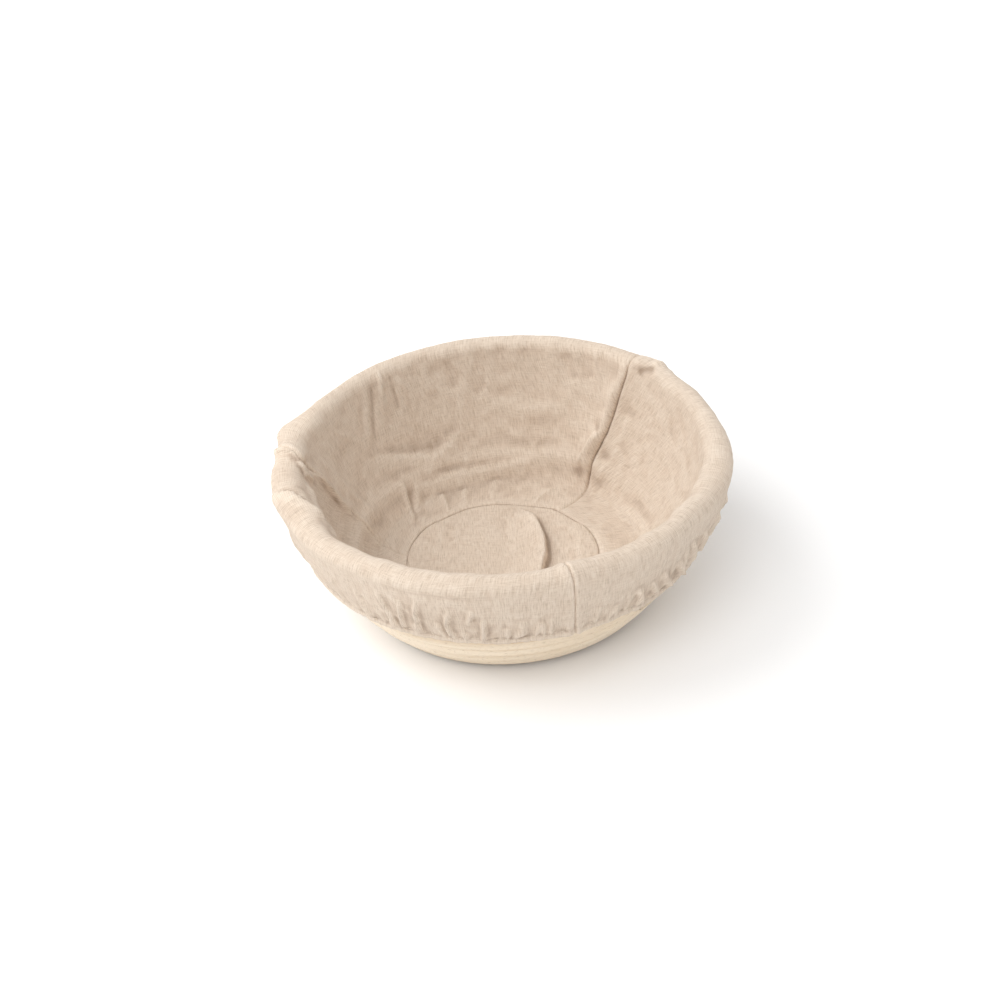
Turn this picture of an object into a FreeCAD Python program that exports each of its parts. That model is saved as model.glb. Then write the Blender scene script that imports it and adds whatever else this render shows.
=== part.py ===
import FreeCAD, Part
import math
import os

# A coiled rattan banneton (bread proofing basket) with a removable cloth liner.
# Millimetres, +Z up. The origin is the middle of the flat underside.
# One long spiral of round rattan core makes the floor and the wall. Every turn is
# nailed to the turn before it with thin headed brads. The cloth liner lies in the
# basket, rolls over the rim, and an elastic in its hem grips the outside.

# ---- rattan coil: driving dimensions ----
CANE_RADIUS = 4.45         # round rattan core
FLAT = 4.3                 # from its centre to the narrow flats where two turns lie together
TURN_PITCH = 9.2           # distance from one turn to the next, along the basket's section
FLOOR_HEIGHT = 4.1         # cane centre above the table; less than its radius, as it is sanded flat
FLOOR_RUN = 66.0           # the coil lies flat out to this radius
CORNER_RADIUS = 12.0       # bend of the coil from floor to wall
WALL_RADIUS = 146.0        # the wall's section is an arc of this radius
FOOT_LEAN = math.radians(40.0)    # the wall's lean from upright, at its foot
RIM_LEAN = math.radians(11.4)     # and at the rim
START_RADIUS = 5.0         # the coil's inner end
RIM_END_AZIMUTH = 170.0    # degrees, where the outer end of the coil lies on the rim
LEVEL_PART = 240.0 / 360.0        # share of the last turn that is pared down to a level rim
RIM_TIP_PART = 20.0 / 360.0       # share of a turn over which the rim's end is pared away
RIM_TIP_THICKNESS = 0.8    # thickness left at the rim's end
SCARF_LENGTH = 28.0        # slanted joint between two lengths of cane
SCARF_GAP = 0.15
RIM_START_TURN = 14.72
CANE_ENDS = {              # turns, counted along the spiral, where one cane follows another
    "floor_cane": (0.0, 7.05),
    "lower_wall_cane": (7.05, 9.75),
    "middle_wall_cane": (9.75, 12.3),
    "upper_wall_cane": (12.3, RIM_START_TURN),
    "rim_cane": (RIM_START_TURN, None),
}
SECTIONS_PER_TURN = 24
CARVE_WIDTH = 1.5          # what carves a cane is this much wider than the cane
CARVE_REACH = 2.0          # and reaches this far past its round
CARVE_SECTIONS = 6
SCARF_MARGIN = 0.1         # and past the ends of its slant, as a share of its length
LEVEL_START = 0.004        # turns past the place where the paring of the underside begins

# ---- brads: driving dimensions ----
BRAD_RADIUS = 0.6
BRAD_HEAD_RADIUS = 0.95
BRAD_HEAD_HEIGHT = 0.5
BRAD_POINT_LENGTH = 1.5
BRAD_RECESS = 0.4          # the head's top below the cane's crest
BRAD_BITE = 1.0            # the point's reach past the middle of the turn below
FLOOR_BRAD_STEP = 0.35     # turns between two brads
WALL_BRAD_STEP = 0.265
RIM_BRAD_STEP = 0.19
RIM_END_BRADS = (0.035, 0.12)   # turns back from the rim's end
SCARF_BRADS = (0.3, 0.7)        # shares of a scarf's length

# ---- cloth liner: driving dimensions ----
CLOTH_THICKNESS = 1.0      # linen with its creases, pressed
CLOTH_GAP = 0.3            # clearance between cloth and cane
DISC_RADIUS = 49.0         # round floor piece, to its seam
SKIRT_DROP = 35.6          # from the rim's middle down to the elastic, along the wall
CHANNEL_RADIUS = 1.3       # hollow of the hem
HEM_RADIUS = 2.2           # outside of the rolled hem
ELASTIC_RADIUS = 1.15
THREAD_RADIUS = 0.25
HEM_STITCH_ABOVE = 3.2     # line of stitches above the elastic
PANELS = {                 # azimuths of the seams at each panel's two sides, in degrees
    "back": (48.0, 168.0),
    "left_front": (168.0, 286.0),
    "right": (286.0, 408.0),
}

# ---- worked out ----
TURN_GAP = TURN_PITCH - 2.0 * FLAT
CORNER_TURN = math.pi / 2.0 - FOOT_LEAN
CORNER_LENGTH = CORNER_RADIUS * CORNER_TURN
FOOT_RUN = FLOOR_RUN + CORNER_LENGTH
FOOT_R = FLOOR_RUN + CORNER_RADIUS * math.sin(CORNER_TURN)
FOOT_Z = FLOOR_HEIGHT + CORNER_RADIUS * (1.0 - math.cos(CORNER_TURN))
RIM_RUN = FOOT_RUN + WALL_RADIUS * (FOOT_LEAN - RIM_LEAN)
END_TURN = (RIM_RUN - START_RADIUS) / TURN_PITCH + LEVEL_PART
LEVEL_TURN = END_TURN - LEVEL_PART
FLOOR_TURN = (FLOOR_RUN - START_RADIUS) / TURN_PITCH
START_AZIMUTH = RIM_END_AZIMUTH - 360.0 * END_TURN
CLOTH_NEAR = CANE_RADIUS + CLOTH_GAP
CLOTH_FAR = CLOTH_NEAR + CLOTH_THICKNESS
CLOTH_MIDDLE = (CLOTH_NEAR + CLOTH_FAR) / 2.0
HEM_RUN = RIM_RUN - SKIRT_DROP


def meridian(run):
    """Cane centre (r, z) and unit direction at a distance along the basket's section."""
    if run <= FLOOR_RUN:
        return (run, FLOOR_HEIGHT), (1.0, 0.0)
    if run <= FOOT_RUN:
        turn = (run - FLOOR_RUN) / CORNER_RADIUS
        r = FLOOR_RUN + CORNER_RADIUS * math.sin(turn)
        z = FLOOR_HEIGHT + CORNER_RADIUS * (1.0 - math.cos(turn))
        return (r, z), (math.cos(turn), math.sin(turn))
    lean = FOOT_LEAN - (run - FOOT_RUN) / WALL_RADIUS
    r = FOOT_R + WALL_RADIUS * (math.cos(lean) - math.cos(FOOT_LEAN))
    z = FOOT_Z + WALL_RADIUS * (math.sin(FOOT_LEAN) - math.sin(lean))
    return (r, z), (math.sin(lean), math.cos(lean))


def turn_run(turn):
    """Distance along the section reached by the spiral after so many turns."""
    return START_RADIUS + TURN_PITCH * turn


def turn_azimuth(turn):
    return math.radians(START_AZIMUTH + 360.0 * turn)


def place(r, z, azimuth):
    return FreeCAD.Vector(r * math.cos(azimuth), r * math.sin(azimuth), z)


def cane_point(run, azimuth, outward=0.0, along=0.0):
    """A point near the cane's centre, moved outward and along the basket's section."""
    (r, z), (tr, tz) = meridian(run)
    return place(r + outward * tz + along * tr, z - outward * tr + along * tz, azimuth)


# ---- cane ----

def cane_section(turn):
    """The cane's cross-section: round, with a narrow flat where the turns touch."""
    run = min(turn_run(turn), RIM_RUN)
    azimuth = turn_azimuth(turn)
    half = math.sqrt(CANE_RADIUS ** 2 - FLAT ** 2)

    def at(outward, along):
        return cane_point(run, azimuth, outward, along)

    edges = [
        Part.Arc(at(half, -FLAT), at(CANE_RADIUS, 0.0), at(half, FLAT)).toShape(),
        Part.LineSegment(at(half, FLAT), at(-half, FLAT)).toShape(),
        Part.Arc(at(-half, FLAT), at(-CANE_RADIUS, 0.0), at(-half, -FLAT)).toShape(),
        Part.LineSegment(at(-half, -FLAT), at(half, -FLAT)).toShape(),
    ]
    return Part.Wire(edges)


def spaced(first, last, count):
    return [first + (last - first) * i / count for i in range(count + 1)]


def loft_cane(first, last):
    """Full-size cane between two places on the spiral."""
    count = int((last - first) * SECTIONS_PER_TURN) + 1
    return Part.makeLoft([cane_section(turn) for turn in spaced(first, last, count)], True, False)


def cane_lengths(first, last):
    """A cane as a row of shorter lengths, none over a full turn, parted where it leaves the floor."""
    ends = [first]
    if first < FLOOR_TURN < last:
        ends = spaced(first, FLOOR_TURN, math.ceil(FLOOR_TURN - first))
    ends += spaced(ends[-1], last, math.ceil(last - ends[-1]))[1:]
    return [loft_cane(a, b) for a, b in zip(ends, ends[1:])]


def scarf_turns(turn):
    """The length of a scarf, as a share of the turn it is on."""
    (r, _), _ = meridian(turn_run(turn))
    return SCARF_LENGTH / (2.0 * math.pi * r)


def carve(first, last, bottom, top):
    """A curved block that follows the spiral between two heights, to pare a cane."""
    sections = []
    for turn in spaced(first, last, int((last - first) * SECTIONS_PER_TURN) + CARVE_SECTIONS):
        run = min(turn_run(turn), RIM_RUN)
        azimuth = turn_azimuth(turn)
        low = bottom(turn)
        high = top(turn)
        corners = [(-CANE_RADIUS, low), (CANE_RADIUS, low), (CANE_RADIUS, high), (-CANE_RADIUS, high)]
        points = [cane_point(run, azimuth, CARVE_WIDTH * outward, along) for outward, along in corners]
        sections.append(Part.makePolygon(points + points[:1]))
    return Part.makeLoft(sections, True, False)


def scarf_cut(start, is_above):
    """What a scarf joint takes off: above its slant from one cane, below it from the next."""
    length = scarf_turns(start)
    margin = length * SCARF_MARGIN

    def slant(turn):
        return FLAT - 2.0 * FLAT * (turn - start) / length

    if is_above:
        return carve(start - margin, start + length + margin,
                     lambda turn: slant(turn) - SCARF_GAP / 2.0, lambda turn: FLAT + CARVE_REACH)
    return carve(start - margin, start + length + margin,
                 lambda turn: -FLAT - CARVE_REACH, lambda turn: slant(turn) + SCARF_GAP / 2.0)


def rim_seat(turn):
    """Height at which the level rim cane rests on the turn below it."""
    return turn_run(turn - 1.0) + FLAT + TURN_GAP - RIM_RUN


def rim_underside_cut():
    return carve(LEVEL_TURN + LEVEL_START, END_TURN + LEVEL_START,
                 lambda turn: -FLAT - CARVE_REACH, rim_seat)


def rim_tip_cut():
    """What is pared off the top of the rim's end, down to a thin tip."""
    first = END_TURN - RIM_TIP_PART
    drop = FLAT - rim_seat(END_TURN) - RIM_TIP_THICKNESS

    def slope(turn):
        return FLAT - drop * (turn - first) / RIM_TIP_PART

    margin = RIM_TIP_PART * SCARF_MARGIN
    return carve(first - margin, END_TURN + margin, slope, lambda turn: FLAT + CARVE_REACH)


def sanding_slab():
    """What is sanded off the underside, so that the basket stands on one plane."""
    reach = 4.0 * FLOOR_RUN
    return Part.makeBox(reach, reach, CANE_RADIUS, FreeCAD.Vector(-reach / 2.0, -reach / 2.0, -CANE_RADIUS))


def make_cane(name):
    """One cane: its lengths are pared and sanded one by one, then joined."""
    start, end = CANE_ENDS[name]
    first = start
    last = END_TURN
    if start > 0.0:
        first -= scarf_turns(start) * SCARF_MARGIN / 2.0
    if end is not None:
        last = end + scarf_turns(end) * (1.0 + SCARF_MARGIN / 2.0)
    lengths = cane_lengths(first, last)
    if start > 0.0:
        lengths[0] = lengths[0].cut(scarf_cut(start, False))
    if end is not None:
        lengths[-1] = lengths[-1].cut(scarf_cut(end, True))
    else:
        lengths[-1] = lengths[-1].cut(rim_underside_cut()).cut(rim_tip_cut())
    if name == "floor_cane":
        slab = sanding_slab()
        lengths = [length.cut(slab) for length in lengths]
    if len(lengths) > 1:
        return lengths[0].multiFuse(lengths[1:]).Solids[0]
    return lengths[0].Solids[0]


# ---- brads ----

def make_brad(head_top, point):
    """One headed brad between two points."""
    axis = point - head_top
    length = axis.Length
    outline = [
        (0.0, 0.0),
        (BRAD_HEAD_RADIUS, 0.0),
        (BRAD_HEAD_RADIUS, BRAD_HEAD_HEIGHT),
        (BRAD_RADIUS, BRAD_HEAD_HEIGHT),
        (BRAD_RADIUS, length - BRAD_POINT_LENGTH),
        (0.0, length),
        (0.0, 0.0),
    ]
    wire = Part.makePolygon([FreeCAD.Vector(r, 0.0, z) for r, z in outline])
    brad = Part.Face(wire).revolve(FreeCAD.Vector(), FreeCAD.Vector(0, 0, 1), 360.0)
    brad.Placement = FreeCAD.Placement(head_top, FreeCAD.Rotation(FreeCAD.Vector(0, 0, 1), axis))
    return brad


def brad_at(turn):
    """A brad from the crest of one turn, through its centre, into the turn before."""
    azimuth = turn_azimuth(turn)
    run = min(turn_run(turn), RIM_RUN)
    centre = cane_point(run, azimuth)
    below = cane_point(turn_run(turn - 1.0), azimuth)
    axis = (below - centre).normalize()
    head_top = centre - axis * (FLAT - BRAD_RECESS)
    return make_brad(head_top, below + axis * BRAD_BITE)


def brad_row(first, last, step):
    """Brads at equal steps along the spiral, so they stagger from turn to turn."""
    count = int((last - first) / step)
    return [brad_at(first + step * i) for i in range(count + 1)]


def make_brads():
    rows = {"floor_brads": brad_row(1.1, CANE_ENDS["floor_cane"][1] - 0.1, FLOOR_BRAD_STEP)}
    for level in ("lower", "middle", "upper"):
        first, last = CANE_ENDS[level + "_wall_cane"]
        rows[level + "_wall_brads"] = brad_row(first + 0.16, last - 0.12, WALL_BRAD_STEP)
    rows["rim_brads"] = brad_row(RIM_START_TURN + 0.16, END_TURN - RIM_END_BRADS[-1] - 0.12, RIM_BRAD_STEP)
    rows["rim_end_brads"] = [brad_at(END_TURN - back) for back in RIM_END_BRADS]
    scarves = [end for _, end in CANE_ENDS.values() if end is not None]
    rows["scarf_brads"] = [brad_at(turn + scarf_turns(turn) * share)
                           for turn in scarves for share in SCARF_BRADS]
    return rows


# ---- liner ----

def cloth_point(run, distance):
    """A point of the liner's section at a distance inside the canes' centre line."""
    (r, z), (tr, tz) = meridian(run)
    return FreeCAD.Vector(r - distance * tz, 0.0, z + distance * tr)


def cloth_arc(first, last, distance):
    middle = (first + last) / 2.0
    return Part.Arc(cloth_point(first, distance), cloth_point(middle, distance),
                    cloth_point(last, distance)).toShape()


def rim_arc(first, last, distance):
    """Arc of the liner over the rim, between two angles about the rim cane's centre."""
    (r, z), _ = meridian(RIM_RUN)
    points = []
    for angle in (first, (first + last) / 2.0, last):
        points.append(FreeCAD.Vector(r + distance * math.cos(angle), 0.0, z + distance * math.sin(angle)))
    return Part.Arc(*points).toShape()


def bowl_path(distance):
    """From the floor seam, up the inside, over the rim to its outermost point."""
    floor = Part.LineSegment(FreeCAD.Vector(DISC_RADIUS, 0.0, FLOOR_HEIGHT + distance),
                             cloth_point(FLOOR_RUN, distance)).toShape()
    corner = cloth_arc(FLOOR_RUN, FOOT_RUN, distance)
    wall = cloth_arc(FOOT_RUN, RIM_RUN, distance)
    roll = rim_arc(math.pi - RIM_LEAN, 0.0, distance)
    return [floor, corner, wall, roll]


def skirt_path(distance):
    """From the rim's outermost point down the outside to the hem."""
    roll = rim_arc(0.0, -RIM_LEAN, distance)
    wall = cloth_arc(RIM_RUN, HEM_RUN, -distance)
    return [roll, wall]


def path_ends(edges):
    return edges[0].Vertexes[0].Point, edges[-1].Vertexes[-1].Point


def strip_face(path):
    """Face between a path's near and far side."""
    near = path(CLOTH_NEAR)
    far = path(CLOTH_FAR)
    near_start, near_end = path_ends(near)
    far_start, far_end = path_ends(far)
    closing = [Part.LineSegment(near_start, far_start).toShape(),
               Part.LineSegment(near_end, far_end).toShape()]
    edges = Part.sortEdges(near + far + closing)[0]
    return Part.Face(Part.Wire(edges))


def spin(face, first, last):
    """Turn a face of the section through the azimuths of one panel."""
    start = face.copy()
    start.rotate(FreeCAD.Vector(), FreeCAD.Vector(0, 0, 1), first)
    return start.revolve(FreeCAD.Vector(), FreeCAD.Vector(0, 0, 1), last - first)


def hem_centre():
    return cloth_point(HEM_RUN, -(CLOTH_NEAR + HEM_RADIUS))


def hem_disc(radius):
    circle = Part.Circle(hem_centre(), FreeCAD.Vector(0, 1, 0), radius)
    return Part.Face(Part.Wire(circle.toShape()))


def make_skirt(first, last):
    """One panel's turned-down skirt with the rolled hem that carries the elastic."""
    strip = spin(strip_face(skirt_path), first, last)
    hem = spin(hem_disc(HEM_RADIUS), first, last)
    channel = spin(hem_disc(CHANNEL_RADIUS), first, last)
    return strip.fuse(hem).cut(channel).removeSplitter()


def ring(centre, radius):
    """A closed ring about the basket's axis, through a point of its section."""
    base = FreeCAD.Vector(0.0, 0.0, centre.z)
    return Part.makeTorus(centre.x, radius, base, FreeCAD.Vector(0, 0, 1))


def thread_along(path, azimuth):
    """A thread that follows a path through the middle of the cloth."""
    wire = Part.Wire(path(CLOTH_MIDDLE))
    start = wire.Edges[0].firstVertex().Point
    tangent = wire.Edges[0].tangentAt(wire.Edges[0].FirstParameter)
    loop = Part.Wire(Part.Circle(start, tangent, THREAD_RADIUS).toShape())
    thread = wire.makePipeShell([loop], True, False)
    thread.rotate(FreeCAD.Vector(), FreeCAD.Vector(0, 0, 1), azimuth)
    return thread


def make_liner():
    nodes = {}
    disc = Part.makeCylinder(DISC_RADIUS, CLOTH_THICKNESS, FreeCAD.Vector(0, 0, FLOOR_HEIGHT + CLOTH_NEAR))
    nodes["liner_floor_disc"] = disc
    bowl = strip_face(bowl_path)
    for name, (first, last) in PANELS.items():
        nodes["liner_panel_" + name] = spin(bowl, first, last)
        nodes["liner_skirt_" + name] = make_skirt(first, last)
        nodes["side_seam_thread_" + name] = thread_along(bowl_path, first)
    seams = [first for first, _ in PANELS.values()]
    nodes["skirt_seam_threads"] = Part.makeCompound([thread_along(skirt_path, seam) for seam in seams])
    floor_seam = FreeCAD.Vector(DISC_RADIUS, 0.0, FLOOR_HEIGHT + CLOTH_MIDDLE)
    nodes["floor_seam_thread"] = ring(floor_seam, THREAD_RADIUS)
    nodes["hem_thread"] = ring(cloth_point(HEM_RUN + HEM_STITCH_ABOVE, -CLOTH_MIDDLE), THREAD_RADIUS)
    nodes["hem_elastic"] = ring(hem_centre(), ELASTIC_RADIUS)
    return nodes


def make_basket():
    nodes = {name: make_cane(name) for name in CANE_ENDS}
    for name, brads in make_brads().items():
        nodes[name] = Part.makeCompound(brads)
    return nodes


def main():
    os.makedirs("parts", exist_ok=True)
    nodes = make_basket()
    nodes.update(make_liner())
    for name, shape in nodes.items():
        shape.exportStep(os.path.join("parts", name + ".step"))
        box = shape.optimalBoundingBox()
        print("%-28s valid %s solids %2d volume %9.1f mm3 z %6.2f to %6.2f r %6.2f"
              % (name, shape.isValid(), len(shape.Solids), shape.Volume, box.ZMin, box.ZMax, box.XMax))


main()
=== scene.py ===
import itertools
import math

import bmesh
import bpy
import numpy as np
from mathutils import Matrix, Vector


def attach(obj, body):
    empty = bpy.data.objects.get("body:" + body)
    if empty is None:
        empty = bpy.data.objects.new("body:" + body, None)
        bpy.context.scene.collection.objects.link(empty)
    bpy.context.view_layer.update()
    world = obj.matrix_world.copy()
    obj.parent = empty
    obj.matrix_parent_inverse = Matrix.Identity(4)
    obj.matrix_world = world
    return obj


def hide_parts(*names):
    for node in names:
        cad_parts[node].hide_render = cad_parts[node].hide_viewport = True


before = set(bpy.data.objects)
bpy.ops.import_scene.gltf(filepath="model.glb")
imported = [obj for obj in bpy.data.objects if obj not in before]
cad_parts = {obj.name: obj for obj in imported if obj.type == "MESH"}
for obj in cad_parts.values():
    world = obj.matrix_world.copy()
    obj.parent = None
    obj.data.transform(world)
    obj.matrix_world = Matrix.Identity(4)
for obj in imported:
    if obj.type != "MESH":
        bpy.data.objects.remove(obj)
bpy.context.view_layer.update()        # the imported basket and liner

# Looks of a coiled rattan banneton with a gathered linen liner. Lengths are in millimetres
# unless a name says otherwise, and angles about the basket's axis are in degrees, counted
# anticlockwise from +X as seen from above. MM turns a length into Blender's metres.
MM = 0.001

# ---- the basket's section, as in the CAD model ----
CANE_RADIUS = 4.45
TURN_PITCH = 9.2
FLOOR_HEIGHT = 4.1
FLOOR_RUN = 66.0
CORNER_RADIUS = 12.0
WALL_RADIUS = 146.0
FOOT_LEAN = math.radians(40.0)
RIM_LEAN = math.radians(11.4)
START_RADIUS = 5.0
RIM_END_AZIMUTH = 170.0
LEVEL_PART = 240.0 / 360.0
CORNER_TURN = math.pi / 2.0 - FOOT_LEAN
FOOT_RUN = FLOOR_RUN + CORNER_RADIUS * CORNER_TURN
FOOT_R = FLOOR_RUN + CORNER_RADIUS * math.sin(CORNER_TURN)
FOOT_Z = FLOOR_HEIGHT + CORNER_RADIUS * (1.0 - math.cos(CORNER_TURN))
RIM_RUN = FOOT_RUN + WALL_RADIUS * (FOOT_LEAN - RIM_LEAN)
WALL_R = FOOT_R - WALL_RADIUS * math.cos(FOOT_LEAN)      # centre of the wall's arc
WALL_Z = FOOT_Z + WALL_RADIUS * math.sin(FOOT_LEAN)
RIM_R = WALL_R + WALL_RADIUS * math.cos(RIM_LEAN)
RIM_Z = WALL_Z - WALL_RADIUS * math.sin(RIM_LEAN)
END_TURN = (RIM_RUN - START_RADIUS) / TURN_PITCH + LEVEL_PART
CANE_ENDS = {
    "floor_cane": (0.0, 7.05),
    "lower_wall_cane": (7.05, 9.75),
    "middle_wall_cane": (9.75, 12.3),
    "upper_wall_cane": (12.3, 14.72),
    "rim_cane": (14.72, END_TURN),
}
SCARF_LENGTH = 28.0

# ---- the liner ----
CLOTH_MID = 5.25           # from the canes' centre line to the middle of the cloth
CLOTH_THICKNESS = 0.6
DISC_RADIUS = 50.0
SKIRT_DROP = 35.6
FLOOR_SEAM_SHIFT = np.array([-4.0, -1.2, 0.0])     # the floor seam lies a little off centre
HEM_CURL = 3.0
# a place on the liner is given by its reach, the length of cloth from the middle of the floor
CORNER_REACH = FLOOR_RUN + (CORNER_RADIUS - CLOTH_MID) * CORNER_TURN
WALL_REACH = CORNER_REACH + (WALL_RADIUS - CLOTH_MID) * (FOOT_LEAN - RIM_LEAN)
ROLL_REACH = WALL_REACH + CLOTH_MID * math.pi
CREST_REACH = WALL_REACH + CLOTH_MID * (math.pi / 2.0 - RIM_LEAN)
HEM_REACH = ROLL_REACH + SKIRT_DROP * (WALL_RADIUS + CLOTH_MID) / WALL_RADIUS
END_REACH = HEM_REACH + HEM_CURL


# ======== small helpers ========

def smooth(x, low, high):
    """Eased step from 0 at low to 1 at high."""
    t = np.clip((x - low) / (high - low), 0.0, 1.0)
    return t * t * (3.0 - 2.0 * t)


def within(x, low, low_end, high, high_end):
    """Eased window: 0 up to low, 1 from low_end to high, 0 past high_end."""
    return smooth(x, low, low_end) * (1.0 - smooth(x, high, high_end))


def on_cylinder(azimuth, r, z):
    """Points (x, y, z) at a distance r from the basket's axis and a height z."""
    theta = np.radians(azimuth)
    return np.stack([r * np.cos(theta), r * np.sin(theta), z], axis=-1)


def bump_at(x, centre, width):
    return np.exp(-((x - centre) / width) ** 2)


def turned(azimuth, centre):
    """Signed angle from a centre azimuth, in degrees between -180 and 180."""
    return (azimuth - centre + 180.0) % 360.0 - 180.0


LARGEST = 0xFFFFFFFF       # largest whole number of 32 bits
# odd numbers that scatter the three indices of a lattice corner, the seed and their sum
I_SCATTER, J_SCATTER, K_SCATTER = np.uint32(374761393), np.uint32(668265263), np.uint32(2246822519)
SEED_SCATTER = 3266489917
SUM_SCATTER = np.uint32(1274126177)
AXIS_SALTS = (0, 31, 67)   # added to the seed for the gradient along each axis
NOISE_GAIN = 1.6           # brings the noise to about -1 to 1


def corner_values(i, j, k, seed):
    """A fixed scatter of values from -1 to 1 over the corners of a lattice."""
    salt = np.uint32((seed * 97 + 13) * SEED_SCATTER & LARGEST)
    h = (i.astype(np.uint32) * I_SCATTER + j.astype(np.uint32) * J_SCATTER
         + k.astype(np.uint32) * K_SCATTER + salt)
    h = (h ^ (h >> np.uint32(13))) * SUM_SCATTER
    h = (h ^ (h >> np.uint32(15))) * K_SCATTER
    return (h ^ (h >> np.uint32(16))).astype(np.float64) / LARGEST * 2.0 - 1.0


def noise(points, seed):
    """Smooth gradient noise, about -1 to 1, at an array of points (..., 3)."""
    base = np.floor(points)
    f = points - base
    w = f * f * f * (f * (f * 6.0 - 15.0) + 10.0)
    cell = base.astype(np.int64)
    total = 0.0
    for corner in itertools.product((0, 1), repeat=3):
        at = [cell[..., n] + corner[n] for n in range(3)]
        dot = sum(corner_values(*at, seed + salt) * (f[..., n] - corner[n])
                  for n, salt in enumerate(AXIS_SALTS))
        share = [w[..., n] if corner[n] else 1.0 - w[..., n] for n in range(3)]
        total = total + dot * share[0] * share[1] * share[2]
    return total * NOISE_GAIN


def layered(points, seed, octaves=3):
    """Noise with finer, weaker noise on top."""
    total = 0.0
    for n in range(octaves):
        total = total + noise(points * 2.0 ** n, seed + 7 * n) * 0.5 ** n
    return total


def creased(points, seed):
    """Ridged noise: narrow creases between smooth flats, 0 to 1."""
    warp = np.stack([noise(points * 0.7 + 9.0 * s, seed + s) for s in (1, 2, 3)], axis=-1)
    return np.clip(1.0 - np.abs(noise(points + 0.55 * warp, seed)) * 2.4, 0.0, 1.0) ** 2


# ======== section of the basket and the liner ========

def meridian(run):
    """Cane centre (r, z) and unit direction (tr, tz) along the basket's section."""
    run = np.asarray(run, float)
    turn = np.clip((run - FLOOR_RUN) / CORNER_RADIUS, 0.0, CORNER_TURN)
    lean = FOOT_LEAN - np.maximum(run - FOOT_RUN, 0.0) / WALL_RADIUS
    on_wall = run > FOOT_RUN
    r = np.where(on_wall, WALL_R + WALL_RADIUS * np.cos(lean),
                 np.minimum(run, FLOOR_RUN) + CORNER_RADIUS * np.sin(turn))
    z = np.where(on_wall, WALL_Z - WALL_RADIUS * np.sin(lean),
                 FLOOR_HEIGHT + CORNER_RADIUS * (1.0 - np.cos(turn)))
    tr = np.where(on_wall, np.sin(lean), np.cos(turn))
    tz = np.where(on_wall, np.cos(lean), np.sin(turn))
    return r, z, tr, tz


def liner_section(reach):
    """Point (r, z) in the middle of the cloth and normal (nr, nz) to its shown face."""
    corner = CORNER_RADIUS - CLOTH_MID
    inner = WALL_RADIUS - CLOTH_MID
    outer = WALL_RADIUS + CLOTH_MID
    bend = np.clip((reach - FLOOR_RUN) / corner, 0.0, CORNER_TURN)
    lean = FOOT_LEAN - (reach - CORNER_REACH) / inner
    roll = math.pi - RIM_LEAN - (reach - WALL_REACH) / CLOTH_MID
    down = RIM_LEAN + (reach - ROLL_REACH) / outer
    zones = [reach < CORNER_REACH, reach < WALL_REACH, reach < ROLL_REACH]
    r = np.select(zones, [np.minimum(reach, FLOOR_RUN) + corner * np.sin(bend),
                          WALL_R + inner * np.cos(lean), RIM_R + CLOTH_MID * np.cos(roll)],
                  WALL_R + outer * np.cos(down))
    z = np.select(zones, [FLOOR_HEIGHT + CORNER_RADIUS - corner * np.cos(bend),
                          WALL_Z - inner * np.sin(lean), RIM_Z + CLOTH_MID * np.sin(roll)],
                  WALL_Z - outer * np.sin(down))
    nr = np.select(zones, [-np.sin(bend), -np.cos(lean), np.cos(roll)], np.cos(down))
    nz = np.select(zones, [np.cos(bend), np.sin(lean), np.sin(roll)], -np.sin(down))
    return r, z, nr, nz


# ======== folds of the liner ========
# A fold is a line of (reach, azimuth) points with a width to each side and a height. The first
# width is on the right of the line as it is walked, with the reach ahead and azimuths to the right.

def beside_line(x, y, line_x, line_y):
    """Distance of each place from a line of points, the side it is on (above 0 on the right of the
    line as it is walked) and how far along it lies, counted in points from the first."""
    best = np.full(x.shape, np.inf)
    side = np.zeros(x.shape)
    where = np.zeros(x.shape)
    for n in range(len(line_x) - 1):
        step_x, step_y = line_x[n + 1] - line_x[n], line_y[n + 1] - line_y[n]
        length = math.hypot(step_x, step_y)
        ux, uy = step_x / length, step_y / length
        dx, dy = x - line_x[n], y - line_y[n]
        t = np.clip(dx * ux + dy * uy, 0.0, length)
        gap = np.hypot(dx - t * ux, dy - t * uy)
        nearer = gap < best
        best = np.where(nearer, gap, best)
        side = np.where(nearer, dx * uy - dy * ux, side)
        where = np.where(nearer, n + t / length, where)
    return best, side, where


def fold_height(reach, azimuth, points, widths, height, ends=0.25, power=1.4):
    """Height of one fold over the cloth; it fades in and out over a share of its length."""
    points = np.asarray(points, float)
    mean_reach, mean_azimuth = points.mean(axis=0)
    r_mean = max(float(liner_section(np.array([mean_reach]))[0][0]), 8.0)
    x = np.radians(turned(azimuth, mean_azimuth)) * r_mean
    line_x = np.radians(turned(points[:, 1], mean_azimuth)) * r_mean
    line_y = points[:, 0]
    best, side, where = beside_line(x, reach, line_x, line_y)
    along = np.concatenate([[0.0], np.cumsum(np.hypot(np.diff(line_x), np.diff(line_y)))])
    where = np.interp(where, np.arange(len(along)), along / along[-1])
    width = np.where(side > 0.0, widths[0], widths[1])
    taper = within(where, 0.0, ends, 1.0 - ends, 1.0)
    return height * taper * np.exp(-(best / width) ** power)


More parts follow.
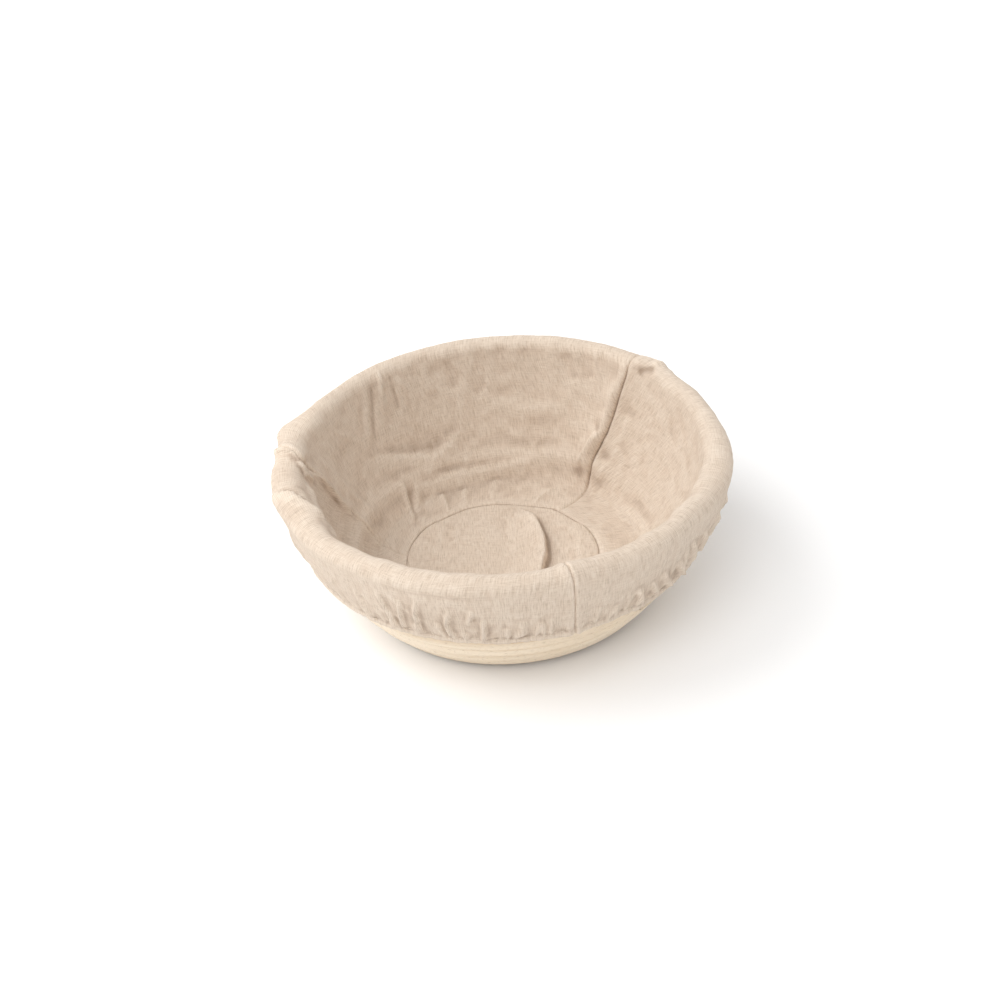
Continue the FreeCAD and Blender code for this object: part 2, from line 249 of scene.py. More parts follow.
SKIRT_TOP = 160.0          # reach past which the elastic draws the folds up
SKIRT_SHARE = 0.87         # to this share of their length
INNER_FORM = (1.8, 1.4)    # gain in the folds' height, and the power with which they fall away
OUTER_FORM = (2.1, 1.15)
INNER_FOLDS = [
    # creases across the back wall
    ([(107, 141), (98, 131), (90, 117), (94, 109), (103, 102)], (3.0, 6.0), 1.3),
    ([(80, 133), (77, 119), (76, 107), (76, 92), (80, 78), (86, 66)], (4.0, 7.0), 1.6),
    ([(118, 98), (110, 88), (108, 76), (112, 64)], (6.0, 6.0), 0.8),
    # short pinches under the rim at the back left
    ([(146, 130), (132, 132), (112, 136)], (1.3, 3.0), -0.6),
    ([(146, 133), (132, 135), (112, 139)], (3.0, 1.6), 0.6),
    ([(148, 127.0), (139, 127.8), (125, 129)], (1.5, 1.2), 0.8),
    ([(146, 124), (136, 123.6), (120, 123)], (1.4, 3.0), -0.5),
    ([(143, 121), (130, 121.5), (112, 121)], (3.0, 5.0), 0.6),
    # flutes under the rim at the back
    ([(145, 88), (137, 87), (128, 85)], (2.2, 4.0), -0.9),
    ([(146, 80), (136, 79), (120, 77)], (3.0, 4.0), -1.0),
    ([(144, 66), (136, 65), (126, 63)], (2.5, 4.0), -0.9),
    ([(144, 60), (136, 59), (129, 58)], (2.5, 3.5), -0.8),
    ([(144, 104), (134, 104), (122, 103)], (3.0, 4.0), -0.6),
    ([(144, 112), (136, 112), (124, 111)], (3.0, 4.0), 0.6),
    # the deep fold beside the right-hand back seam, with its pocket
    ([(142, 48.5), (124, 49.5), (106, 51), (90, 55), (78, 58)], (7.0, 5.0), 1.8),
    ([(106, 50.5), (97, 52.5), (88, 54.5), (80, 57)], (3.0, 2.0), 1.7),
    ([(146, 44), (148, 41), (150, 37.5), (153, 35)], (4.0, 1.5), 1.3),
    ([(141, 41), (145, 38.5), (149, 36.5)], (2.0, 2.5), -1.1),
    ([(100, 41), (88, 43), (76, 46)], (2.5, 4.5), 0.6),
    ([(120, 40), (104, 42), (92, 46)], (5.0, 5.0), 0.8),
    # soft dents in the right wall
    ([(138, 18), (130, 19.5), (120, 22)], (5.0, 3.0), -1.0),
    ([(139, 5), (128, 5.5), (116, 7)], (5.0, 3.0), -1.0),
    ([(132, 352), (118, 354), (104, 357)], (6.0, 5.0), -0.7),
    ([(80, 20), (84, 4), (88, 346), (94, 330)], (5.0, 6.0), 1.0),
    ([(70, 30), (74, 14), (76, 358)], (4.0, 5.0), 0.9),
    # creases that run down into the floor seam
    ([(88, 133), (77, 136), (66, 138), (58, 142)], (1.2, 3.0), 1.2),
    ([(84, 127), (74, 131), (63, 135)], (2.5, 2.0), 0.8),
    ([(70, 119), (60, 119), (52, 120)], (1.6, 2.5), 1.2),
    ([(68, 107), (60, 108), (52, 108)], (1.6, 2.5), 0.8),
    ([(72, 92), (62, 93), (52, 93)], (2.0, 2.5), 0.7),
    ([(66, 64), (58, 66), (51, 67)], (1.5, 2.5), 0.9),
    # the lining stands off the wall where the lip has slipped at the left
    ([(137, 178), (133, 190), (133, 203), (137, 217)], (12.0, 9.0), 3.1),
    ([(147, 176.4), (138, 177.6), (128, 175)], (2.5, 0.9), 1.5),
    ([(134, 173), (122, 169.4), (108, 167), (92, 166)], (3.0, 0.9), 1.7),
    # ridge beside the left seam
    ([(135, 164), (115, 160), (95, 157), (76, 155)], (4.0, 4.0), 0.9),
    ([(128, 152), (108, 150), (90, 149)], (6.0, 6.0), -0.7),
    # the hidden front wall
    ([(120, 240), (104, 246), (84, 248)], (5.0, 5.0), 1.2),
    ([(132, 214), (112, 218), (86, 220)], (6.0, 5.0), 1.1),
    ([(124, 268), (100, 266), (78, 262)], (5.0, 6.0), 1.0),
    ([(118, 306), (100, 310), (80, 314)], (6.0, 6.0), 1.1),
    ([(132, 326), (116, 324), (96, 322)], (5.0, 5.0), -0.8),
    ([(84, 200), (80, 222), (79, 244)], (4.0, 6.0), 1.0),
    ([(90, 280), (84, 300), (82, 322)], (4.0, 6.0), 0.9),
]
OUTER_FOLDS = [
    # the stepped lip at the left, where the rim cane ends
    ([(142, 175.4), (147, 174), (152, 172.8), (157, 172)], (1.2, 5.0), 1.3),
    ([(140, 211), (145, 202.5), (149, 195), (156, 190), (160, 188)], (6.0, 1.0), 1.6),
    ([(140, 208.6), (144, 201), (148, 193.4), (154, 188.6)], (1.0, 2.2), -0.8),
    # long slanting folds of the skirt at the lower left
    ([(162, 205), (176, 207), (192, 209), (200, 210)], (2.0, 1.2), 1.0),
    ([(165, 212), (180, 212.5), (198, 213.5)], (1.6, 1.2), 1.0),
    ([(164, 199), (180, 198), (199, 199)], (2.5, 1.4), 1.0),
    ([(170, 219), (186, 219.5), (199, 220)], (1.4, 1.4), 0.9),
    # pleats at the front, from the left seam to the front seam
    ([(178, 229), (188, 229.3), (199, 230)], (1.5, 1.2), 1.1),
    ([(164, 235), (180, 237), (197, 238.5)], (1.0, 1.2), 1.0),
    ([(166, 241.8), (182, 241), (197, 240)], (0.9, 1.1), 1.1),
    ([(162, 246.8), (176, 245.6), (192, 245.0), (199, 247)], (0.9, 1.0), 1.4),
    ([(181, 250.5), (188, 251), (199, 251.5)], (1.0, 1.0), 0.8),
    ([(168, 254.8), (182, 252.9), (190, 253.2), (199, 255.4)], (1.0, 0.9), 1.3),
    ([(168, 260.2), (176, 259.2), (184, 258.2)], (0.9, 1.1), 0.9),
    ([(174, 262.6), (188, 262.2), (200, 261.4)], (0.9, 1.1), 1.6),
    ([(184, 268), (191, 268), (200, 267.6)], (1.3, 1.5), 0.8),
    ([(178, 272), (186, 272), (196, 271.5)], (2.0, 2.5), 0.6),
    ([(182, 277), (190, 277), (200, 277.4)], (1.3, 1.4), 0.8),
    ([(160, 236), (159.5, 250), (159, 264)], (1.5, 2.5), -0.3),
    # pleats to the right of the front seam
    ([(180, 292), (188, 291.6), (200, 291)], (1.4, 1.4), 0.8),
    ([(184, 297), (191, 297), (200, 297.4)], (1.3, 1.3), 0.8),
    ([(178, 303), (188, 304.5), (199, 307)], (1.3, 2.0), 1.1),
    ([(180, 307.4), (189, 309.4), (199, 311.8)], (2.0, 1.2), 1.2),
    ([(176, 311), (188, 314), (199, 318.4)], (1.3, 2.4), 1.4),
    ([(178, 317), (189, 320), (199, 323.6)], (2.4, 1.2), 1.4),
    ([(170, 323), (182, 325.4), (197, 328)], (1.4, 2.4), 1.4),
    ([(172, 329), (184, 331), (198, 333)], (2.4, 1.3), 1.3),
    ([(168, 336), (184, 338), (198, 340)], (1.6, 2.4), 1.4),
    ([(166, 342.6), (182, 344), (198, 345)], (2.4, 1.5), 1.2),
    ([(170, 350), (185, 351), (198, 352)], (2.0, 2.0), 1.1),
]
SIDE_SEAMS = {             # (reach, azimuth) down each side seam
    "back": [(50, 49.0), (60, 48.4), (78, 50.6), (90, 50.2), (104, 47.8), (119, 46.8), (133, 46.0),
             (145, 45.0), (157, 44.5), (204, 44.0)],
    "left": [(50, 168.0), (63, 164.0), (77, 163.6), (97, 165.0), (116, 167.2), (135, 173.0),
             (145, 175.0), (150, 172.5), (158, 170.0), (204, 169.0)],
    "front": [(50, 288.0), (78, 288.5), (120, 287.6), (137, 286.0), (147, 283.8), (153, 284.3),
              (165, 284.8), (182, 285.2), (204, 285.9)],
}


def drawn_up(points):
    """Fold points with those on the skirt drawn up by the elastic."""
    return [(min(reach, SKIRT_TOP) + max(reach - SKIRT_TOP, 0.0) * SKIRT_SHARE, azimuth)
            for reach, azimuth in points]


def seam_azimuth(seam, reach):
    """Azimuth of a side seam at each reach."""
    points = np.array(SIDE_SEAMS[seam])
    return np.interp(reach, points[:, 0], points[:, 1])


PLEAT_SEED = 11
LAST_PLEAT = 357.0         # azimuth past which no pleat starts
PLEAT_SPREAD = 9.0         # degrees each side of a pleat over which it is worked out


def pleats(reach, azimuth):
    """Small gathers that the elastic draws into the skirt, all round."""
    rng = np.random.default_rng(PLEAT_SEED)
    total = np.zeros(reach.shape)
    place = 0.0
    while place < LAST_PLEAT:
        length = 7.0 + 22.0 * rng.random() ** 1.6
        lean = rng.normal(0.0, 1.4)
        points = [(HEM_REACH - 1.0, place), (HEM_REACH - 0.5 * length, place + 0.4 * lean),
                  (HEM_REACH - length, place + lean)]
        near = np.abs(turned(azimuth, place)) < PLEAT_SPREAD
        height = 0.8 + 0.9 * rng.random()
        if near.any():
            widths = (0.8 + 0.7 * rng.random(), 0.8 + 0.7 * rng.random())
            total[near] += fold_height(reach[near], azimuth[near], points, widths, height, 0.3)
        place += 2.4 + 5.6 * rng.random()
    return total


def gather(reach, azimuth):
    """Scrunched cloth along the elastic: fine, upright, and strongest at the hem."""
    fine = on_cylinder(azimuth, 33.0, reach / 7.0)
    coarse = fine * np.array([0.45, 0.45, 0.6]) + 17.0
    near_hem = np.exp(-np.abs(HEM_REACH - 1.5 - reach) / 6.5)
    wide = np.exp(-np.abs(HEM_REACH - reach) / 16.0)
    ripple = 0.12 * np.sin(np.radians(azimuth) * 210.0 + 2.0 * noise(fine * 0.5, 5))
    return near_hem * (1.1 * noise(fine, 21) + ripple) + wide * noise(coarse, 22)


def slack(reach, azimuth, points, on_skirt):
    """Soft dents, flutes and crumples of loosely fitted linen."""
    flutes = on_cylinder(azimuth, 9.0, reach / 48.0)
    under_rim = within(reach, 100.0, 140.0, WALL_REACH, CREST_REACH + 4.0)
    wall = smooth(reach, 60.0, 80.0)
    dents = layered(points / 36.0, 3, 3)
    small = layered(points / 11.0 + 5.0, 8, 2)
    crumple = creased(points / 19.0, 40) - 0.25
    fine_crumple = creased(points / 8.5 + 3.0, 50) - 0.25
    lip = bump_at(reach, CREST_REACH, 9.0)
    height = (0.7 - 0.35 * lip) * dents + 0.15 * small * (1.0 - 0.5 * lip)
    height += (0.35 - 0.25 * lip) * crumple + (0.13 - 0.08 * lip) * fine_crumple
    height += 1.25 * under_rim * noise(flutes, 14)
    upright = on_cylinder(azimuth, 26.0, reach / 30.0)
    height += (0.1 + 0.3 * on_skirt) * noise(upright, 15) * wall
    return height


# bulges and hollows of the lip: (azimuth, width in degrees, how far outward)
LIP_BULGES = [(161.5, 6.0, 7.2), (177.0, 9.0, 2.0), (184.0, 8.0, 1.3), (194.0, 11.0, 1.5), (346.0, 15.0, 2.4),
              (38.0, 5.0, 2.6), (29.0, 4.0, -1.0), (142.0, 7.0, -0.8)]
LIP_RISES = [(200.0, 26.0, -0.9), (286.5, 5.0, 1.3)]       # the same, upward
FRONT_RISE = (252.0, 58.0, 2.4)        # the whole front of the lip and skirt sits this much higher
STEP_DEPTH = 1.7           # the lip lies lower between the two steps at the left
SEAM_STEP = 0.5            # and a little higher to the right of the front seam


def swelling(azimuth, centre, width, size):
    """A bump about one azimuth."""
    return size * bump_at(turned(azimuth, centre), 0.0, width)


def span(azimuth, start, start_width, end, end_before, end_after):
    """1 between two azimuths and 0 outside them, eased after the first and about the second."""
    past_end = smooth(turned(azimuth, end), -end_before, end_after)
    return smooth(turned(azimuth, start), 0.0, start_width) * (1.0 - past_end)


def lip_shift(reach, azimuth):
    """How far the lip and skirt stand out and up from the plain rim, outward and upward."""
    out_zone = within(reach, 146.0, 156.0, 163.0, 187.0)
    top_zone = within(reach, 132.0, 146.0, 156.0, 172.0)
    waves = on_cylinder(azimuth, 2.4, reach * 0.0)
    out = 0.9 * noise(waves, 70) + sum(swelling(azimuth, *bulge) for bulge in LIP_BULGES)
    up = 0.35 * noise(waves * 1.7 + 4.0, 71) + sum(swelling(azimuth, *rise) for rise in LIP_RISES)
    up -= STEP_DEPTH * span(azimuth, 172.0, 3.0, 190.0, 5.0, 2.0)
    up += SEAM_STEP * span(azimuth, 284.0, 5.0, 330.0, 20.0, 10.0)
    front_rise = swelling(azimuth, *FRONT_RISE) * smooth(reach, 126.0, 146.0)
    # what rises outside the basket also moves out, as the wall under it leans outward
    lean = 0.5 * smooth(reach, CREST_REACH, HEM_REACH)
    return out * out_zone + front_rise * lean, up * top_zone + front_rise


def floor_seam_waves(azimuth):
    """How far the floor seam wanders in and out of its circle."""
    theta = np.radians(azimuth)
    return 0.8 * np.sin(3.0 * theta + 0.6) + 0.45 * np.sin(8.0 * theta) + 0.3 * np.sin(13.0 * theta + 2.0)


HEM_HOLD = 0.72            # share of the pleats' height that the elastic takes away where it holds them
TIGHT_PART = (209.0, 15.0, 0.6)        # where the skirt is drawn tight: azimuth, width and how much
STAND_OFF = 0.55           # height of plain cloth over the canes
LOWEST = -0.25             # the cloth lies on the canes where it is stretched
LOWEST_SHARPNESS = 3.0     # of the bend where the cloth comes to lie on them
HEM_ROLL = 1.5             # height of the rolled hem


def liner_points(reach, azimuth, extra_height, with_height=False):
    """Places on the finished liner, in millimetres, for arrays of reach and azimuth."""
    r, z, nr, nz = liner_section(reach)
    on_skirt = smooth(reach, CREST_REACH, ROLL_REACH + 6.0)
    height = slack(reach, azimuth, on_cylinder(azimuth, r, z), on_skirt)
    for folds, gain, power in ((INNER_FOLDS, *INNER_FORM), (OUTER_FOLDS, *OUTER_FORM)):
        for points, widths, rise in folds:
            height = height + fold_height(reach, azimuth, drawn_up(points), widths, rise * gain, power=power)
    held = 1.0 - HEM_HOLD * smooth(reach, HEM_REACH - 7.5, HEM_REACH - 2.0)
    height = (height + pleats(reach, azimuth)) * held + 0.5 * gather(reach, azimuth)
    tight = swelling(azimuth, *TIGHT_PART) * smooth(reach, 156.0, 166.0)
    height = height * (1.0 - tight) + STAND_OFF * (1.0 - 0.7 * tight) + extra_height
    height = LOWEST + np.logaddexp(0.0, (height - LOWEST) * LOWEST_SHARPNESS) / LOWEST_SHARPNESS
    hem_roll = HEM_ROLL * bump_at(reach, HEM_REACH - 1.6, 1.7)
    curl = smooth(reach, HEM_REACH - 0.4, END_REACH)
    height = (height + hem_roll) * (1.0 - curl) - 0.2 * curl
    out, up = lip_shift(reach, azimuth)
    r = r + nr * height + out + floor_seam_waves(azimuth) * bump_at(reach, DISC_RADIUS, 10.0)
    z = z + nz * height + up
    centre = 1.0 - smooth(reach, 50.0, 74.0)
    points = on_cylinder(azimuth, r, z) + FLOOR_SEAM_SHIFT * centre[..., None]
    return (points, height) if with_height else points


# ======== mesh building ========

def new_mesh(name, vertices, loops, sizes, loop_uv):
    """A mesh from its points, its faces' corners one after another, and the corners in each face."""
    mesh = bpy.data.meshes.new(name)
    mesh.vertices.add(len(vertices))
    mesh.vertices.foreach_set("co", (vertices * MM).ravel())
    mesh.loops.add(len(loops))
    mesh.loops.foreach_set("vertex_index", loops)
    mesh.polygons.add(len(sizes))
    mesh.polygons.foreach_set("loop_start", np.cumsum(sizes) - sizes)
    mesh.polygons.foreach_set("loop_total", sizes)
    mesh.uv_layers.new(name="cloth").data.foreach_set("uv", (loop_uv * MM).ravel())
    return mesh


def smooth_piece(name, mesh):
    """A smoothly shaded object in the scene."""
    mesh.polygons.foreach_set("use_smooth", np.ones(len(mesh.polygons), bool))
    piece = bpy.data.objects.new(name, mesh)
    bpy.context.collection.objects.link(piece)
    return piece


def cells(index):
    """The four corners of every cell of a grid of numbers."""
    return np.stack([index[:-1, :-1], index[:-1, 1:], index[1:, 1:], index[1:, :-1]], axis=-1).reshape(-1, 4)


def grid_mesh(name, points, uv):
    """A surface from a grid of points (rows, columns, 3) and its UV."""
    rows, columns = points.shape[:2]
    quads = cells(np.arange(rows * columns).reshape(rows, columns))
    corners = quads.ravel()
    mesh = new_mesh(name, points.reshape(-1, 3), corners, np.full(len(quads), 4), uv.reshape(-1, 2)[corners])
    mesh.update(calc_edges=True)
    mesh.validate()
    return smooth_piece(name, mesh)


def grid_normals(points, wrap):
    """Unit normals, on the shown side, of a grid whose rows run along the reach."""
    along = np.gradient(points, axis=0)
    if wrap:
        across = np.roll(points, -1, axis=1) - np.roll(points, 1, axis=1)
    else:
        across = np.gradient(points, axis=1)
    normals = np.cross(along, across)
    return normals / np.maximum(np.linalg.norm(normals, axis=-1, keepdims=True), 1e-9)


def edge_strip(edge, count):
    """Faces that close one edge of a shell, between its shown layer and its back layer."""
    return np.stack([edge[1:], edge[:-1], edge[:-1] + count, edge[1:] + count], axis=-1)


def cloth_mesh(name, points, uv, height, wrap=False):
    """A closed thin shell of cloth about a grid of points; a wrapped grid is a disc."""
    rows, columns = points.shape[:2]
    count = rows * columns
    offset = grid_normals(points, wrap) * CLOTH_THICKNESS / 2.0
    layers = [(points + offset).reshape(-1, 3), (points - offset).reshape(-1, 3)]
    index = np.arange(count).reshape(rows, columns)
    if wrap:
        index = np.concatenate([index, index[:, :1]], axis=1)
    quads = cells(index)[:, [0, 3, 2, 1]]
    faces = [quads, quads[:, ::-1] + count, edge_strip(index[-1], count)]
    vertices = np.concatenate(layers)
    uv_all = np.concatenate([uv.reshape(-1, 2)] * 2)
    crease_all = np.concatenate([creases(height).ravel()] * 2)
    fans = np.zeros((0, 3), int)
    if wrap:
        middles = [layer[:columns].mean(axis=0) for layer in layers]
        vertices = np.concatenate([vertices, middles])
        uv_all = np.concatenate([uv_all, np.zeros((2, 2))])
        crease_all = np.concatenate([crease_all, np.zeros(2)])
        first, second = index[0, :-1], index[0, 1:]
        top = np.stack([np.full(first.shape, 2 * count), first, second], axis=-1)
        under = np.stack([np.full(first.shape, 2 * count + 1), second + count, first + count], axis=-1)
        fans = np.concatenate([top, under])
    else:
        faces += [edge_strip(index[0, ::-1], count), edge_strip(index[:, 0], count),
                  edge_strip(index[::-1, -1], count)]
    quads = np.concatenate(faces)
    loops = np.concatenate([quads.ravel(), fans.ravel()])
    sizes = np.concatenate([np.full(len(quads), 4), np.full(len(fans), 3)])
    mesh = new_mesh(name, vertices, loops, sizes, uv_all[loops])
    # the crease attribute places the painted shade in the folds' hollows and the painted highlight on their
    # ridges
    mesh.attributes.new("crease", "FLOAT", "POINT").data.foreach_set("value", crease_all)
    mesh.update(calc_edges=True)
    return smooth_piece(name, mesh)


# ======== liner pieces ========

PANEL_COLUMNS = 400
# rows of points across a panel: (reach at the band's end, rows in the band)
PANEL_BANDS = [(56.0, 6), (CORNER_REACH, 8), (138.0, 42), (162.0, 20), (HEM_REACH - 1.0, 37),
               (END_REACH, 8)]
CREASE_REACH = 4           # points each way over which a crease is compared with the cloth around it
PANEL_SIDES = {
    "back": ("back", "left"),
    "left_front": ("left", "front"),
    "right": ("front", "back"),
}
OVERHANG = {"back": 1.1}   # the back panel's cloth rolls over its right-hand seam


def panel_rows():
    """Reach of each row of points, from the floor seam to the end of the hem."""
    line = [np.array([DISC_RADIUS])]
    for end, count in PANEL_BANDS:
        line.append(np.linspace(line[-1][-1], end, count + 1)[1:])
    return np.concatenate(line)


def crowded(count, crowd=0.35):
    """Steps from 0 to 1 that crowd together at both ends."""
    t = np.linspace(0.0, 1.0, count)
    return t - crowd / (2.0 * math.pi) * np.sin(2.0 * math.pi * t)


def seam_edge(distance, puff, tuck=0.9):
    """Height beside a seam: cloth bulked by the turnings behind it, tucked down at the stitches."""
    distance = np.abs(distance)
    groove = 0.5 + 0.32 * tuck
    return puff * np.exp(-(distance / 4.5) ** 2) - (puff + tuck) * np.exp(-(distance / groove) ** 1.2)


# how much a side seam stands up and is tucked in along its reach: (reach, bulk, tuck)
SEAM_FORM = {
    "back": [(50, 0.3, 0.3), (75, 1.3, 1.7), (95, 2.4, 2.3), (118, 2.1, 2.3), (132, 0.9, 1.4),
             (146, 0.4, 0.5), (160, 0.3, 0.2), (204, 0.5, 0.6)],
    "left": [(50, 0.4, 0.3), (80, 0.9, 0.3), (110, 1.1, 0.45), (135, 1.2, 0.9), (150, 0.6, 0.8),
             (204, 0.5, 0.5)],
    "front": [(50, 0.5, 0.5), (140, 0.7, 0.5), (150, 1.1, 0.3), (204, 1.2, 0.45)],
}


def seam_bulk(distance, reach, seam):
    """Height beside a side seam."""
    at, bulk, tuck = np.array(SEAM_FORM[seam]).T
    return seam_edge(distance, np.interp(reach, at, bulk), np.interp(reach, at, tuck))


def make_panel(name):
    """One wall panel with its part of the skirt, between two side seams."""
    first_seam, last_seam = PANEL_SIDES[name]
    reach_line = panel_rows()
    first = seam_azimuth(first_seam, reach_line)
    last = seam_azimuth(last_seam, reach_line)
    last = np.where(last < first, last + 360.0, last)
    share = crowded(PANEL_COLUMNS)
    reach = np.repeat(reach_line[:, None], PANEL_COLUMNS, axis=1)
    azimuth = first[:, None] + (last - first)[:, None] * share[None, :]
    r = liner_section(reach)[0]
    from_first = np.radians(azimuth - first[:, None]) * r
    from_last = np.radians(last[:, None] - azimuth) * r
    extra = seam_bulk(from_first, reach, first_seam) + seam_bulk(from_last, reach, last_seam)
    extra += seam_edge(reach - DISC_RADIUS, 0.5)
    if name in OVERHANG:
        deep = within(reach, 64.0, 90.0, 138.0, 150.0)
        shift = OVERHANG[name] * deep * bump_at(from_first, 1.4, 1.1)
        extra += 1.6 * deep * bump_at(from_first, 2.6, 2.4)
        azimuth = azimuth - np.degrees(shift / r)
    points, height = liner_points(reach, azimuth, extra, True)
    middle = (first + last)[:, None] / 2.0
    r_cut = np.where(reach < CREST_REACH, np.minimum(r, RIM_R), RIM_R)
    uv = np.stack([np.radians(azimuth - middle) * r_cut, reach], axis=-1)
    return cloth_mesh("liner_panel_" + name + "_shown", points, uv, height)


def creases(height):
    """How far each point lies above or below the cloth around it, for the material's painted shade in hollows
    and painted highlight on ridges.
    """
    mean = height
    for axis in (0, 1):
        total = np.zeros(height.shape)
        for step in range(-CREASE_REACH, CREASE_REACH + 1):
            index = np.clip(np.arange(height.shape[axis]) + step, 0, height.shape[axis] - 1)
            total += np.take(mean, index, axis=axis)
        mean = total / (2 * CREASE_REACH + 1)
    return np.clip(height - mean, -1.0, 1.0)


DISC_ROWS, DISC_COLUMNS = 90, 260
DISC_CENTRE_SHARE = 0.012  # first row of points, as a share of the radius


def make_disc():
    """The round floor piece, inside the floor seam."""
    reach_line = DISC_RADIUS * np.linspace(DISC_CENTRE_SHARE, 1.0, DISC_ROWS)
    azimuth_line = np.linspace(0.0, 360.0, DISC_COLUMNS, endpoint=False)
    reach, azimuth = np.meshgrid(reach_line, azimuth_line, indexing="ij")
    x, y = reach * np.cos(np.radians(azimuth)), reach * np.sin(np.radians(azimuth))
    extra = seam_edge(DISC_RADIUS - reach, 0.35) + floor_folds(x, y)
    points, height = liner_points(reach, azimuth, extra, True)
    return cloth_mesh("liner_floor_disc_shown", points, np.stack([x, y], axis=-1), height, wrap=True)


# lines of (x, y) on the floor disc, widths to the left and right of the line as walked, height
FLOOR_FOLDS = [
    ([(12, 47), (16, 37), (20, 27), (23, 12), (23, -2), (20, -14), (14, -34)], (0.9, 7.5), 6.0),
    ([(0, 45), (2, 34), (3, 18), (2, -4), (-4, -24)], (3.5, 4.0), -1.4),
    ([(36, 30), (41, 14), (41, -4), (34, -22)], (7.0, 3.0), 1.5),
    ([(-28, 36), (-31, 22), (-36, 4)], (2.0, 2.5), 0.9),
    ([(-20, 38), (-22, 26), (-22, 14)], (2.5, 2.0), 0.6),
    ([(30, -10), (12, -30), (-8, -38)], (3.0, 4.0), 1.2),
    ([(-40, -8), (-26, -22), (-12, -34)], (4.0, 3.0), 0.9),
]


def floor_folds(x, y):
    """Height of all the folds of the floor disc."""
    total = np.zeros(x.shape)
    for points, widths, height in FLOOR_FOLDS:
        line_x, line_y = np.array(points, float).T
        best, side, where = beside_line(x, y, line_x, line_y)
        where = where / (len(points) - 1)
        width = np.where(side < 0.0, widths[0], widths[1])
        taper = within(where, 0.0, 0.3, 0.75, 1.0)
        total += height * taper * np.exp(-(best / width) ** 1.5)
    return total


# ======== threads and elastic ========

STITCH_STATIONS = 7        # rings of points along one stitch
STITCH_SIDES = 6


def capsule_run(name, centres, directions, normals, length, radius, dip):
    """One mesh of many small stitches, each a short bowed thread whose ends dip into the cloth."""
    turns = np.linspace(0.0, 2.0 * math.pi, STITCH_SIDES, endpoint=False)
    side = np.cross(normals, directions)
    side /= np.linalg.norm(side, axis=1)[:, None]
    lift = np.cross(directions, side)
    rings = []
    for s in np.linspace(-1.0, 1.0, STITCH_STATIONS):
        width = radius * (0.55 + 0.45 * (1.0 - s ** 4))
        middle = centres + directions * (0.5 * length * s)[:, None] - lift * dip * s ** 4
        rings.append([middle + side * width * math.cos(a) + lift * width * math.sin(a) for a in turns])
    points = np.array(rings)                       # station, side, stitch, xyz
    count = points.shape[2]
    points = np.moveaxis(points, 2, 0).reshape(-1, 3)
    per = STITCH_STATIONS * STITCH_SIDES
    faces = []
    for a in range(0, per - STITCH_SIDES, STITCH_SIDES):
        b = a + STITCH_SIDES
        for j in range(STITCH_SIDES):
            k = (j + 1) % STITCH_SIDES
            faces.append((a + j, a + k, b + k, b + j))
    faces.append(tuple(reversed(range(STITCH_SIDES))))
    faces.append(tuple(range(per - STITCH_SIDES, per)))
    mesh = bpy.data.meshes.new(name)
    mesh.from_pydata((points * MM).tolist(), [], [tuple(v + per * n for v in face) for n in range(count)
                                                  for face in faces])
    mesh.update()
    return smooth_piece(name, mesh)


SEAM_STITCH = {"pitch": 2.6, "length": 1.9, "dip": 0.25}
HEM_STITCH = {"pitch": 3.0, "length": 2.1, "dip": 0.3}
THREAD_RADIUS = 0.2


def stitch_line(name, seed, reach, azimuth, extra, pitch, length, dip):
    """Stitches along a line on the liner, a pitch apart, with small differences of place and length."""
    rng = np.random.default_rng(seed)
    path = liner_points(reach, azimuth, np.full(azimuth.shape, extra))
    _, _, nr, nz = liner_section(reach)
    over = path + on_cylinder(azimuth, nr, nz)
    steps = np.linalg.norm(np.diff(path, axis=0), axis=1)
    along = np.concatenate([[0.0], np.cumsum(steps)])
    at = np.arange(0.6 * pitch, along[-1] - 0.5 * pitch, pitch)
    at = at + rng.uniform(-0.12, 0.12, at.shape) * pitch

    def sample(values, where):
        return np.stack([np.interp(where, along, values[:, k]) for k in range(3)], axis=1)

    centres = sample(path, at)
    ahead, behind = sample(path, at + 0.45 * length), sample(path, at - 0.45 * length)
    directions = ahead - behind
    directions /= np.linalg.norm(directions, axis=1)[:, None]
    normals = sample(over, at) - centres
    normals /= np.linalg.norm(normals, axis=1)[:, None]
    lengths = length * rng.uniform(0.88, 1.08, at.shape)
    return capsule_run(name + "_stitches", centres, directions, normals, lengths, THREAD_RADIUS, dip)


SEAM_NODES = {"back": "back", "left": "left_front", "front": "right"}      # a side seam and its thread's node
SEAM_SINK = -0.75          # seam stitches lie this far below the cloth beside them
FLOOR_SINK = -0.7
HEM_LIFT = 0.34
HEM_STITCH_ABOVE = 4.6     # the line of stitches above the hem's end


